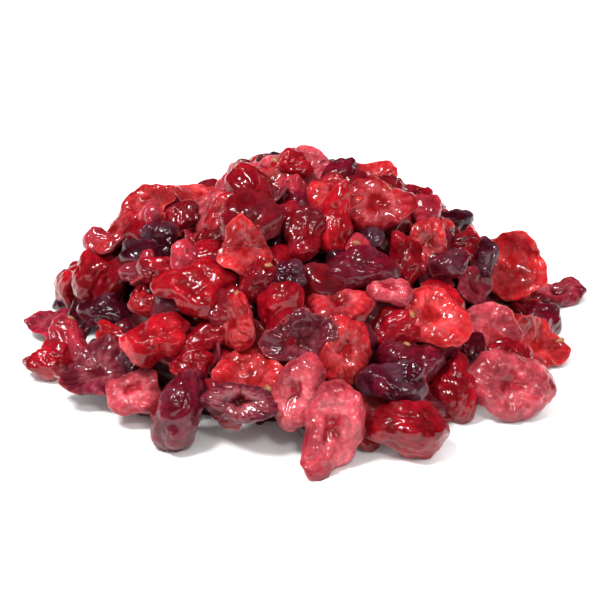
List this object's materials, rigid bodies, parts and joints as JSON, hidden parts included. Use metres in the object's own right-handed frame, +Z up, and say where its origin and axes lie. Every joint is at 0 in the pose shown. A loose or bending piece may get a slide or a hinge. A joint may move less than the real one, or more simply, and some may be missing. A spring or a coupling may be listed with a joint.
{
  "type": "heap of dried cranberries",
  "caption": "Loose heap of sliced and dried cranberries lying on a surface: domed skins, open cups, ring slices and curled strips, wider than it is high.",
  "frame": {"origin": "middle of the heap's footprint, on the surface that it lies on", "axes": "+Z up, -Y towards the side that the picture shows, +X to that viewer's right"},
  "size_m": [0.1192, 0.1072, 0.0411],
  "materials": {
    "dried_cranberry": "gloss"
  },
  "bodies": {
    "root": {"cranberry_heap": "dried_cranberry"}
  },
  "joints": []
}
